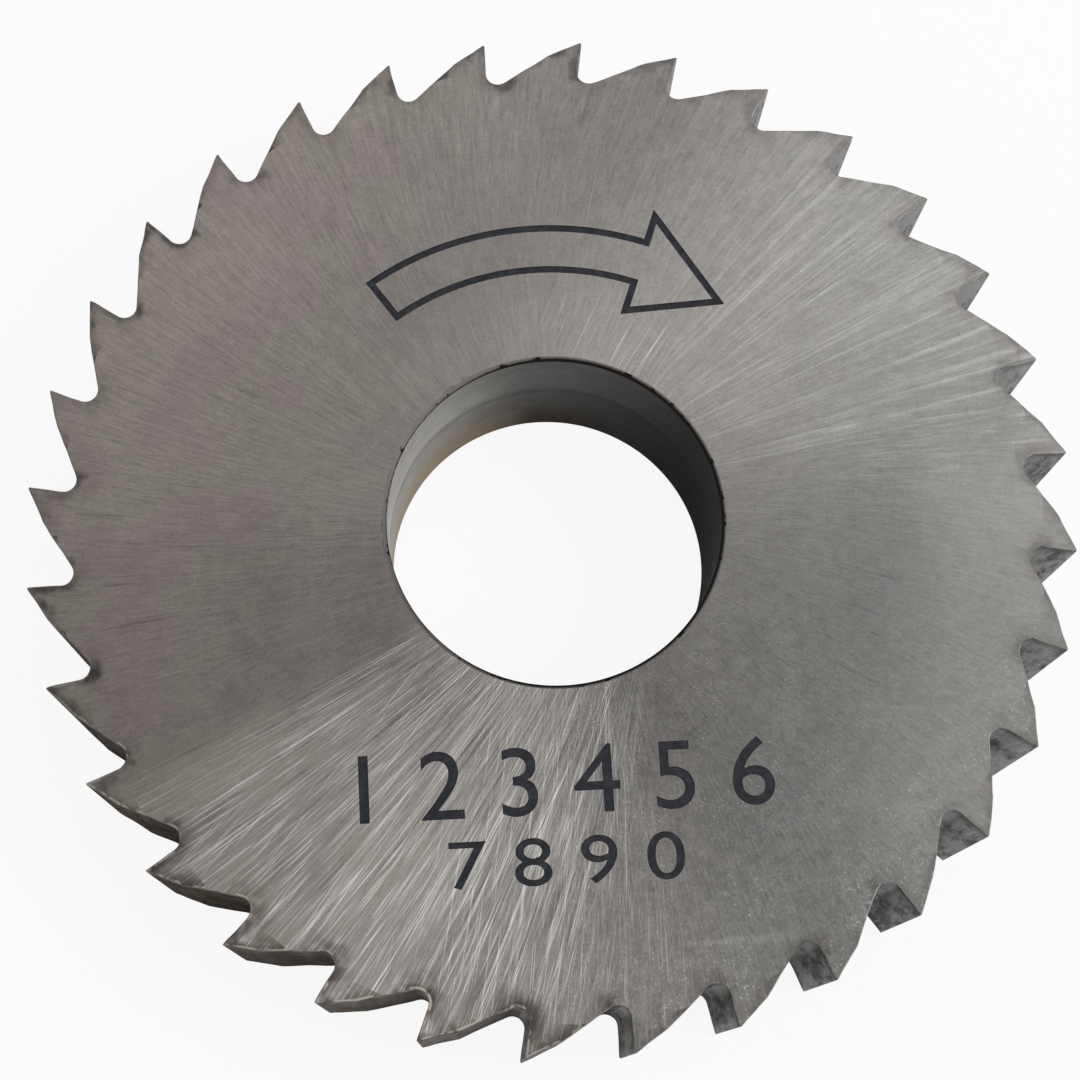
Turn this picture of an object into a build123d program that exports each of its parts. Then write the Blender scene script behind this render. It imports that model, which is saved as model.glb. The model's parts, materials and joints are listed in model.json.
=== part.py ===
from build123d import *
from math import degrees, sqrt
import os

# Slitting saw: one hardened steel disc with straight gullets, clamped on an arbor through its bore.
# The disc lies flat. +Z runs along the bore, and the origin is the bore's centre on the lower side.
# Seen from above, the teeth point clockwise, and one tooth tip lies on each of the X and Y axes.
# All sizes are in millimetres, and angles are in degrees.

# Disc
outside_diameter = 25.0
width = 5.0
bore_diameter = 8.0
bore_chamfer = 0.1

# Teeth
tooth_count = 32
tooth_depth = 1.1
rake_angle = 5.0
land_width = 0.05
relief_angle = 28.0
relief_length = 0.9
gullet_radius = 0.3

# Worked out from the sizes above
outside_radius = outside_diameter / 2
bore_radius = bore_diameter / 2
root_radius = outside_radius - tooth_depth
tooth_pitch_angle = 360 / tooth_count
land_angle = degrees(land_width / outside_radius)

# One gullet, drawn in front of the tooth that stands at the top of the disc.
# The rake face leans back under its tip, so that the tooth hooks into the work.
tip = Vector(0, outside_radius)
rake_outward = Vector(0, 1).rotate(Axis.Z, -rake_angle)
rake_normal = Vector(1, 0).rotate(Axis.Z, -rake_angle)

# The gullet's round bottom touches both the rake face and the root circle.
centre_aside = gullet_radius + tip.dot(rake_normal)
centre_distance = root_radius + gullet_radius
centre_outward = sqrt(centre_distance**2 - centre_aside**2)
gullet_centre = rake_normal * centre_aside + rake_outward * centre_outward
rake_foot = gullet_centre - rake_normal * gullet_radius

# The next tooth clockwise keeps a narrow land of the turned rim, then falls away in a short ground relief.
heel_angle = land_angle - tooth_pitch_angle
heel = tip.rotate(Axis.Z, heel_angle)
relief_direction = Vector(-1, 0).rotate(Axis.Z, heel_angle + relief_angle)
relief_end = heel + relief_direction * relief_length

# Past the rim, the outline runs on along both flanks so that the cut leaves no skin.
beyond_tip = tip + rake_outward * tooth_depth
beyond_heel = heel - relief_direction * tooth_depth

with BuildSketch() as gullet:
    with BuildLine():
        gullet_circle = CenterArc(gullet_centre, gullet_radius, 0, 360, mode=Mode.PRIVATE).edge()
        back = ConstrainedLines(gullet_circle, relief_end, selector=lambda lines: lines.sort_by(Axis.Y)[0])
        back_foot = back.vertices().sort_by(Axis.X)[0].center()
        TangentArc(rake_foot, back_foot, tangent=-rake_outward)
        Line(rake_foot, beyond_tip)
        Polyline(relief_end, beyond_heel, beyond_tip)
    make_face()

# The saw: a bored blank with every gullet milled straight across the rim.
with BuildPart() as slitting_saw:
    with BuildSketch():
        Circle(outside_radius)
        Circle(bore_radius, mode=Mode.SUBTRACT)
        with PolarLocations(radius=0, count=tooth_count):
            add(gullet.sketch, mode=Mode.SUBTRACT)
    extrude(amount=width)
    bore_edges = slitting_saw.edges().filter_by(lambda edge: edge.is_closed)
    chamfer(bore_edges, length=bore_chamfer)

slitting_saw.part.label = "slitting_saw"

os.makedirs("parts", exist_ok=True)
export_step(slitting_saw.part, "parts/slitting_saw.step")
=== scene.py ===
"""Dresses the slitting saw: one toothed steel disc, ground on its sides, milled between its teeth and etched.

Lengths are in mm, and the finished mesh is scaled to metres. Angles are in degrees, anticlockwise from +X seen
from above, where nothing else is said.
"""

import json
import logging
import math
from dataclasses import dataclass, field, replace
from enum import Enum

import bmesh
import bpy
from bpy.types import Material, Mesh, Node, NodeSocket, Object
from mathutils import Matrix, Vector, noise


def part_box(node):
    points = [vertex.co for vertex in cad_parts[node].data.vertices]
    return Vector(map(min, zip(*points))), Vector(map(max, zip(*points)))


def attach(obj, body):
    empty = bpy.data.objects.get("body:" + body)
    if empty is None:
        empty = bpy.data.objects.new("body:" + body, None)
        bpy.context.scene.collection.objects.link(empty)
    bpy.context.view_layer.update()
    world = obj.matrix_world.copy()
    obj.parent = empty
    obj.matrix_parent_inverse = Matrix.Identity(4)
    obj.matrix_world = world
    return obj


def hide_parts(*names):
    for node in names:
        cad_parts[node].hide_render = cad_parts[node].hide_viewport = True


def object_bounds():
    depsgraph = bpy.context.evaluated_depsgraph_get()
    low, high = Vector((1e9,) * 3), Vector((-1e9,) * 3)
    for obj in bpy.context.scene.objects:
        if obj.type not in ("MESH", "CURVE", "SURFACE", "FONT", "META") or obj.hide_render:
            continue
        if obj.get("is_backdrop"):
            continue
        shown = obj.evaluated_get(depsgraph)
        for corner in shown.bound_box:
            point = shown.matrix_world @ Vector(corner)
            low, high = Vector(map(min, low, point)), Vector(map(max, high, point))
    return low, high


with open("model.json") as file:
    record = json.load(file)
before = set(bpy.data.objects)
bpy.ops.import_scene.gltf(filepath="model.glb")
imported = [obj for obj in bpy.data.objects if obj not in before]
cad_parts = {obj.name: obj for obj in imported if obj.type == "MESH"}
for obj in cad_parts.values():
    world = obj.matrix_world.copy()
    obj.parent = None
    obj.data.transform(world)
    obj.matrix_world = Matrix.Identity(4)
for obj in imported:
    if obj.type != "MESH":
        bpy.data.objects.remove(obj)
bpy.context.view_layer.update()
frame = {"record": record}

log = logging.getLogger("slitting_saw")

MM = 0.001
NODE = "slitting_saw"
BODY = "root"
UP = Vector((0.0, 0.0, 1.0))
Colour = tuple[float, float, float]
Point = tuple[float, float]


def turned(vector: Vector, degrees: float) -> Vector:
    """Turns a vector about the bore's axis.

    Args:
        vector: The vector to turn.
        degrees: The angle to turn it by.

    Returns:
        The turned vector.
    """
    return Matrix.Rotation(math.radians(degrees), 3, "Z") @ vector


def link(name: str, data: bpy.types.ID) -> Object:
    """Adds an object to the scene.

    Args:
        name: The object's name.
        data: Its mesh, curve, camera or lamp.

    Returns:
        The object.
    """
    made = bpy.data.objects.new(name, data)
    bpy.context.scene.collection.objects.link(made)
    return made


class Surface(Enum):
    """The finishes of the disc, in the order of its material slots."""

    SIDE = 0
    EDGE = 1
    RAKE = 2
    BACK = 3
    RELIEF = 4
    BORE = 5
    BORE_EDGE = 6


@dataclass
class PhotoCamera:
    """The camera that saw the disc: where it aims, from which side and how far away."""

    aim: Vector = field(default_factory=lambda: Vector((-0.3226, -0.5314, 5.0)))
    azimuth: float = -3.386
    elevation: float = 75.194
    roll: float = 6.786
    distance: float = 51.27
    lens: float = 72.01
    sensor: float = 36.0
    nearest: float = 1.0
    furthest: float = 5000.0

    def build(self) -> Object:
        """Makes the camera and hands it to the scene.

        Returns:
            The camera object.
        """
        data = bpy.data.cameras.new("photo_camera")
        data.lens, data.sensor_width = self.lens, self.sensor
        data.clip_start, data.clip_end = self.nearest * MM, self.furthest * MM
        camera = link("photo_camera", data)
        side, rise = math.radians(self.azimuth), math.radians(self.elevation)
        back = Vector((math.sin(side) * math.cos(rise), -math.cos(side) * math.cos(rise), math.sin(rise)))
        looking = (-back).to_track_quat("-Z", "Y").to_matrix()
        rolled = looking @ Matrix.Rotation(math.radians(self.roll), 3, "Z")
        place = (self.aim + back * self.distance) * MM
        camera.matrix_world = Matrix.Translation(place) @ rolled.to_4x4()
        bpy.context.scene.camera = camera
        return camera


@dataclass(frozen=True)
class ToothForm:
    """The size and form of one tooth, drawn at the top of the disc, where its tip lies on the Y axis."""

    outside_radius: float
    count: int = 32
    depth: float = 1.1
    rake_angle: float = 5.0
    land: float = 0.05
    relief_angle: float = 28.0
    relief_length: float = 0.9
    gullet_radius: float = 0.3

    @property
    def pitch(self) -> float:
        """The angle from one tooth to the next."""
        return 360.0 / self.count

    @property
    def root_radius(self) -> float:
        """The radius that the gullets reach down to."""
        return self.outside_radius - self.depth

    @property
    def tip(self) -> Vector:
        """The cutting point."""
        return Vector((0.0, self.outside_radius, 0.0))

    @property
    def rake_outward(self) -> Vector:
        """The direction up the rake face."""
        return turned(Vector((0.0, 1.0, 0.0)), -self.rake_angle)

    @property
    def rake_normal(self) -> Vector:
        """The direction out of the rake face, into the gullet."""
        return turned(Vector((1.0, 0.0, 0.0)), -self.rake_angle)

    @property
    def gullet_centre(self) -> Vector:
        """The centre of the gullet's round bottom."""
        aside = self.gullet_radius + self.tip.dot(self.rake_normal)
        reach = self.root_radius + self.gullet_radius
        outward = math.sqrt(reach**2 - aside**2)
        return self.rake_normal * aside + self.rake_outward * outward

    @property
    def rake_foot(self) -> Vector:
        """Where the rake face meets the round bottom."""
        return self.gullet_centre - self.rake_normal * self.gullet_radius

    @property
    def next_tip(self) -> Vector:
        """The cutting point of the next tooth, clockwise."""
        return turned(self.tip, -self.pitch)

    @property
    def heel(self) -> Vector:
        """The back of the next tooth's land."""
        return turned(self.next_tip, math.degrees(self.land / self.outside_radius))

    @property
    def relief_end(self) -> Vector:
        """Where the next tooth's ground relief meets its milled back."""
        turn = math.degrees(self.land / self.outside_radius) - self.pitch + self.relief_angle
        return self.heel + turned(Vector((-1.0, 0.0, 0.0)), turn) * self.relief_length

    @property
    def back_outward(self) -> Vector:
        """The direction out of the next tooth's milled back, into the gullet."""
        reach = self.relief_end - self.gullet_centre
        lean = math.degrees(math.acos(self.gullet_radius / reach.length))
        return -turned(reach, -lean).normalized()

    @property
    def bottom_sweep(self) -> float:
        """The angle that the round bottom turns through, from the rake foot to the back."""
        back = -self.back_outward
        foot = self.rake_foot - self.gullet_centre
        return math.degrees(math.atan2(back.y, back.x) - math.atan2(foot.y, foot.x)) % 360.0


class NodeSheet:
    """One material's shader nodes, with a short method for each kind of node that the finishes use."""

    def __init__(self, name: str) -> None:
        """Starts an empty material.

        Args:
            name: The material's name.
        """
        self.material: Material = bpy.data.materials.new(name)
        self.material.use_nodes = True
        self.tree = self.material.node_tree
        self.tree.nodes.clear()

    def add(self, kind: str, **settings: object) -> Node:
        """Adds a node.

        Args:
            kind: The node's type name.
            **settings: Properties to set on the node.

        Returns:
            The new node.
        """
        node = self.tree.nodes.new(kind)
        for name, value in settings.items():
            setattr(node, name, value)
        return node

    def feed(self, socket: NodeSocket, value: object) -> None:
        """Links a socket to another one, or sets its value.

        Args:
            socket: The input to feed.
            value: An output socket, a number, a vector or a colour.
        """
        if isinstance(value, NodeSocket):
            self.tree.links.new(value, socket)
        elif isinstance(value, (int, float)):
            socket.default_value = value
        else:
            size = len(socket.default_value)
            socket.default_value = (*value, 1.0)[:size]

    def math(self, operation: str, *values: object, clamp: bool = False) -> NodeSocket:
        """Adds a Math node.

        Args:
            operation: The operation's name.
            *values: Its one to three operands.
            clamp: Whether the result is held between 0 and 1.

        Returns:
            The result.
        """
        node = self.add("ShaderNodeMath", operation=operation, use_clamp=clamp)
        for socket, value in zip(node.inputs, values):
            self.feed(socket, value)
        return node.outputs[0]

    def product(self, *values: object) -> NodeSocket:
        """Multiplies numbers.

        Args:
            *values: The numbers, at least two.

        Returns:
            Their product.
        """
        result = values[0]
        for value in values[1:]:
            result = self.math("MULTIPLY", result, value)
        return result

    def total(self, *values: object) -> NodeSocket:
        """Adds numbers up.

        Args:
            *values: The numbers, at least two.

        Returns:
            Their sum.
        """
        result = values[0]
        for value in values[1:]:
            result = self.math("ADD", result, value)
        return result

    def vector(self, operation: str, *values: object) -> NodeSocket:
        """Adds a Vector Math node.

        Args:
            operation: The operation's name.
            *values: Its operands; for SCALE, the vector and then the factor.

        Returns:
            The vector, or the number where the operation gives one.
        """
        node = self.add("ShaderNodeVectorMath", operation=operation)
        sockets = [node.inputs[0], node.inputs["Scale"]] if operation == "SCALE" else node.inputs
        for socket, value in zip(sockets, values):
            self.feed(socket, value)
        return node.outputs["Value" if operation in ("LENGTH", "DOT_PRODUCT", "DISTANCE") else "Vector"]

    def join(self, x: object = 0.0, y: object = 0.0, z: object = 0.0) -> NodeSocket:
        """Makes a vector from numbers.

        Args:
            x: Its first part.
            y: Its second part.
            z: Its third part.

        Returns:
            The vector.
        """
        node = self.add("ShaderNodeCombineXYZ")
        for socket, value in zip(node.inputs, (x, y, z)):
            self.feed(socket, value)
        return node.outputs[0]

    def parts(self, vector: NodeSocket) -> tuple[NodeSocket, NodeSocket, NodeSocket]:
        """Splits a vector.

        Args:
            vector: The vector.

        Returns:
            Its three parts.
        """
        node = self.add("ShaderNodeSeparateXYZ")
        self.feed(node.inputs[0], vector)
        return node.outputs[0], node.outputs[1], node.outputs[2]

    def turn(self, vector: object, degrees: object) -> NodeSocket:
        """Turns a vector about the bore's axis.

        Args:
            vector: The vector.
            degrees: The angle, as a number or as a socket in radians.

        Returns:
            The turned vector.
        """
        node = self.add("ShaderNodeVectorRotate", rotation_type="Z_AXIS")
        self.feed(node.inputs["Vector"], vector)
        angle = degrees if isinstance(degrees, NodeSocket) else math.radians(degrees)
        self.feed(node.inputs["Angle"], angle)
        return node.outputs[0]

    def step(self, value: NodeSocket, low: float, high: float, start: float = 0.0, end: float = 1.0) -> NodeSocket:
        """Adds a smooth Map Range from start at low to end at high.

        Args:
            value: The value to map.
            low: Where the step starts.
            high: Where the step ends.
            start: The result at and below low.
            end: The result at and above high.

        Returns:
            The mapped value.
        """
        node = self.add("ShaderNodeMapRange", interpolation_type="SMOOTHSTEP")
        settings = {"Value": value, "From Min": low, "From Max": high, "To Min": start, "To Max": end}
        for name, number in settings.items():
            self.feed(node.inputs[name], number)
        return node.outputs[0]

    def noise(self, place: NodeSocket, scale: float, detail: float = 2.0, roughness: float = 0.5) -> NodeSocket:
        """Adds a Noise texture.

        Args:
            place: The coordinates.
            scale: Waves in each unit of the coordinates.
            detail: Octaves of finer noise.
            roughness: How strong the finer noise is.

        Returns:
            The noise, around 0.5.
        """
        node = self.add("ShaderNodeTexNoise", noise_dimensions="3D")
        for name, value in (("Vector", place), ("Scale", scale), ("Detail", detail), ("Roughness", roughness)):
            self.feed(node.inputs[name], value)
        return node.outputs[0]

    def mix(self, share: object, first: object, second: object, blend: str = "MIX") -> NodeSocket:
        """Adds a colour Mix node.

        Args:
            share: How much of the second colour shows.
            first: The first colour.
            second: The second colour.
            blend: The blend type.

        Returns:
            The mixed colour.
        """
        node = self.add("ShaderNodeMix", data_type="RGBA", blend_type=blend)
        colours = [socket for socket in node.inputs if socket.type == "RGBA"]
        for socket, value in zip((node.inputs[0], *colours), (share, first, second)):
            self.feed(socket, value)
        return next(socket for socket in node.outputs if socket.type == "RGBA")

    def bump(self, height: NodeSocket, depth: float, under: NodeSocket | None = None) -> NodeSocket:
        """Adds a Bump node.

        Args:
            height: The height pattern, from 0 to 1.
            depth: The height of the pattern.
            under: The normal that this bump adds to.

        Returns:
            The bumped normal.
        """
        node = self.add("ShaderNodeBump")
        self.feed(node.inputs["Height"], height)
        self.feed(node.inputs["Distance"], depth * MM)
        if under is not None:
            self.feed(node.inputs["Normal"], under)
        return node.outputs[0]

    def place(self) -> NodeSocket:
        """Gives the piece's own coordinates in mm."""
        return self.vector("SCALE", self.add("ShaderNodeTexCoord").outputs["Object"], 1.0 / MM)

    def shade(self, colour: object, roughness: object, metallic: float, **extras: object) -> Material:
        """Adds the surface shader and the output.

        Args:
            colour: The base colour.
            roughness: The roughness.
            metallic: 1 for bare metal, less where a film covers it.
            **extras: Further sockets by name, with a space written as an underscore.

        Returns:
            The finished material.
        """
        shader = self.add("ShaderNodeBsdfPrincipled")
        fixed = {"Base Color": colour, "Roughness": roughness, "Metallic": metallic}
        named = {name.replace("_", " "): value for name, value in extras.items()}
        for name, value in {**fixed, **named}.items():
            self.feed(shader.inputs[name], value)
        output = self.add("ShaderNodeOutputMaterial")
        self.tree.links.new(shader.outputs[0], output.inputs["Surface"])
        return self.material


@dataclass(frozen=True)
class Fan:
    """A family of grinding lines that spread from one point of the side.

    Attributes:
        centre: The point that the lines spread from.
        lines: Changes from bright to dark in one radian of the fan.
        drift: Changes along each mm of a line.
        twist: Degrees that the lines lean in each mm.
        seed: Shifts the pattern.
        detail: Octaves of finer lines.
    """

    centre: Point
    lines: float
    drift: float
    twist: float = 0.0
    seed: float = 0.0
    detail: float = 2.0

    def streaks(self, sheet: NodeSheet, surface: NodeSocket) -> NodeSocket:
        """Draws the fan's lines.

        Args:
            sheet: The material's nodes.
            surface: The surface's coordinates.

        Returns:
            The lines, around 0.5.
        """
        flat = sheet.vector("MULTIPLY", surface, (1.0, 1.0, 0.0))
        away = sheet.vector("SUBTRACT", flat, (*self.centre, 0.0))
        distance = sheet.vector("LENGTH", away)
        direction = sheet.vector("NORMALIZE", away)
        if self.twist:
            direction = sheet.turn(direction, sheet.math("MULTIPLY", distance, math.radians(self.twist)))
        _, _, height = sheet.parts(surface)
        along = sheet.math("ADD", sheet.math("MULTIPLY_ADD", distance, self.drift, self.seed), height)
        path = sheet.vector("MULTIPLY_ADD", direction, (self.lines,) * 3, sheet.join(z=along))
        return sheet.noise(path, 1.0, self.detail, 0.55)


@dataclass(frozen=True)
class Sector:
    """A slice of the side, seen from one point.

    Attributes:
        centre: The point of the slice.
        middle: The slice's middle direction.
        half: Half of the slice's angle.
        start_blur: How softly the slice starts, on its clockwise side.
        end_blur: How softly it ends, on its anticlockwise side.
        near: The distance at which it starts.
        far: The distance at which it ends.
        reach_blur: How softly it starts and ends along its length.
        boundless: The distance from which the slice has no end.
    """

    centre: Point = (0.0, 0.0)
    middle: float = 0.0
    half: float = 20.0
    start_blur: float = 6.0
    end_blur: float = 6.0
    near: float = 0.0
    far: float = 30.0
    reach_blur: float = 0.8
    boundless: float = 30.0

    def share(self, sheet: NodeSheet, surface: NodeSocket, wobble: NodeSocket | None = None) -> NodeSocket:
        """Masks the slice.

        Args:
            sheet: The material's nodes.
            surface: The surface's coordinates.
            wobble: A pattern around 0.5 that breaks up the slice's borders.

        Returns:
            1 inside the slice and 0 outside.
        """
        flat = sheet.vector("MULTIPLY", surface, (1.0, 1.0, 0.0))
        away = sheet.turn(sheet.vector("SUBTRACT", flat, (*self.centre, 0.0)), -self.middle)
        x, y, _ = sheet.parts(away)
        angle = sheet.math("DEGREES", sheet.math("ARCTAN2", y, x))
        if wobble is not None:
            shift = 2.0 * max(self.start_blur, self.end_blur)
            angle = sheet.math("ADD", angle, sheet.math("MULTIPLY_ADD", wobble, shift, -0.5 * shift))
        if self.start_blur == self.end_blur:
            angle = sheet.math("ABSOLUTE", angle)
        share = sheet.step(angle, self.half - self.end_blur, self.half + self.end_blur, 1.0, 0.0)
        if self.start_blur != self.end_blur:
            starts = sheet.step(angle, -self.half - self.start_blur, -self.half + self.start_blur)
            share = sheet.product(share, starts)
        distance = sheet.vector("LENGTH", away)
        if self.near > 0.0:
            opens = sheet.step(distance, self.near - self.reach_blur, self.near + self.reach_blur)
            share = sheet.product(share, opens)
        if self.far < self.boundless:
            closes = sheet.step(distance, self.far - self.reach_blur, self.far + self.reach_blur, 1.0, 0.0)
            share = sheet.product(share, closes)
        return share


@dataclass(frozen=True)
class Scratches:
    """Separate scratches: the peaks of a fan's lines within a slice of the side.

    Attributes:
        fan: The lines.
        sector: Where they are, or None for everywhere.
        rarity: The level that the lines must pass, between 0.4 for many and 0.7 for few.
        tone: The change of brightness, more than 0 for bright scratches, whose brightness is a painted glint on the
            real scratches.
        sharpness: How far above the level a scratch is at its full tone.
        breaks: Gaps in each mm, where a scratch fades and comes back.
        faintest: How much of its tone is left in a gap.
    """

    fan: Fan
    sector: Sector | None
    rarity: float
    tone: float
    sharpness: float = 0.08
    breaks: float = 0.9
    faintest: float = 0.08

    def paint(self, sheet: NodeSheet, surface: NodeSocket) -> NodeSocket:
        """Draws the scratches.

        Args:
            sheet: The material's nodes.
            surface: The surface's coordinates.

        Returns:
            The change of brightness.
        """
        streaks = self.fan.streaks(sheet, surface)
        lines = sheet.step(streaks, self.rarity, self.rarity + self.sharpness, 0.0, self.tone)
        gaps = replace(self.fan, lines=0.3 * self.fan.lines, drift=self.breaks, seed=-self.fan.seed, detail=0.0)
        kept = sheet.step(gaps.streaks(sheet, surface), 0.35, 0.63, self.faintest, 1.0)
        lines = sheet.product(lines, kept)
        if self.sector is None:
            return lines
        return sheet.product(lines, self.sector.share(sheet, surface, streaks))


@dataclass(frozen=True)
class Flecks:
    """Small ragged spots, bright or dark, that lie in loose clusters.

    Attributes:
        sector: Where they are.
        spacing: The mean distance between places that may have one.
        rarity: The level that a spot must pass, between 0.6 for many and 0.75 for few.
        tone: The change of brightness.
    """

    sector: Sector
    spacing: float
    rarity: float
    tone: float

    def paint(self, sheet: NodeSheet, surface: NodeSocket) -> NodeSocket:
        """Draws the flecks.

        Args:
            sheet: The material's nodes.
            surface: The surface's coordinates.

        Returns:
            The change of brightness.
        """
        pattern = sheet.noise(surface, 1.0 / self.spacing, 1.0, 0.6)
        spots = sheet.step(pattern, self.rarity, self.rarity + 0.05, 0.0, self.tone)
        clusters = sheet.step(sheet.noise(surface, 0.9, 2.0, 0.6), 0.40, 0.60, 0.15, 1.0)
        return sheet.product(spots, clusters, self.sector.share(sheet, surface))


@dataclass(frozen=True)
class SheenShadePatch:
    """An even change of brightness over a slice of the side: painted sheen where it is brighter, painted shade where
    it is darker.

    Attributes:
        sector: Where it is.
        tone: The change of brightness.
    """

    sector: Sector
    tone: float

    def paint(self, sheet: NodeSheet, surface: NodeSocket) -> NodeSocket:
        """Draws the patch.

        Args:
            sheet: The material's nodes.
            surface: The surface's coordinates.

        Returns:
            The change of brightness.
        """
        return sheet.product(self.sector.share(sheet, surface), self.tone)


@dataclass(frozen=True)
class ToothPlace:
    """Brings every tooth to the top of the disc, so that one pattern repeats on all teeth.

    Attributes:
        form: The tooth's form.
    """

    form: ToothForm

    def local(self, sheet: NodeSheet, surface: NodeSocket) -> NodeSocket:
        """Turns the surface's coordinates to the tooth at the top.

        Args:
            sheet: The material's nodes.
            surface: The surface's coordinates.

        Returns:
            The coordinates on the top tooth.
        """
        x, y, z = sheet.parts(surface)
        pitch = math.radians(self.form.pitch)
        clockwise = sheet.math("ARCTAN2", x, y)
        shifted = sheet.math("FLOORED_MODULO", sheet.math("ADD", clockwise, 0.5 * pitch), pitch)
        within = sheet.math("SUBTRACT", shifted, 0.5 * pitch)
        radius = sheet.vector("LENGTH", sheet.join(x, y))
        across = sheet.math("MULTIPLY", radius, sheet.math("SINE", within))
        outward = sheet.math("MULTIPLY", radius, sheet.math("COSINE", within))
        return sheet.join(across, outward, z)

    def beyond(self, sheet: NodeSheet, place: NodeSocket, point: Vector, outward: Vector) -> NodeSocket:
        """Measures how far outside one straight line of the outline a place lies.

        Args:
            sheet: The material's nodes.
            place: The coordinates on the top tooth.
            point: A point of the line.
            outward: The direction out of the steel.

        Returns:
            The distance, less than 0 inside the line.
        """
        return sheet.vector("DOT_PRODUCT", sheet.vector("SUBTRACT", place, tuple(point)), tuple(outward))

    def inward(self, sheet: NodeSheet, surface: NodeSocket) -> NodeSocket:
        """Measures how far a place on the side lies in from the outline of the teeth.

        Args:
            sheet: The material's nodes.
            surface: The surface's coordinates.

        Returns:
            The distance.
        """
        form = self.form
        place = sheet.vector("MULTIPLY", self.local(sheet, surface), (1.0, 1.0, 0.0))
        heel, relief_end = turned(form.heel, form.pitch), turned(form.relief_end, form.pitch)
        lines = (
            (form.tip, form.rake_normal),
            (heel, turned(heel - relief_end, 90.0).normalized()),
            (relief_end, turned(form.back_outward, form.pitch)),
        )
        outside = [self.beyond(sheet, place, point, outward) for point, outward in lines]
        over = sheet.math("MAXIMUM", outside[0], sheet.math("MAXIMUM", outside[1], outside[2]))
        gullets = [form.gullet_centre, turned(form.gullet_centre, form.pitch)]
        away = [sheet.vector("DISTANCE", place, tuple(centre)) for centre in gullets]
        from_gullet = sheet.math("SUBTRACT", sheet.math("MINIMUM", *away), form.gullet_radius)
        _, height, _ = sheet.parts(place)
        in_tooth = sheet.math("GREATER_THAN", height, form.gullet_centre.y)
        in_body = sheet.math("SUBTRACT", 1.0, in_tooth)
        return sheet.math("SUBTRACT", sheet.product(from_gullet, in_body), sheet.product(over, in_tooth))


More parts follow.
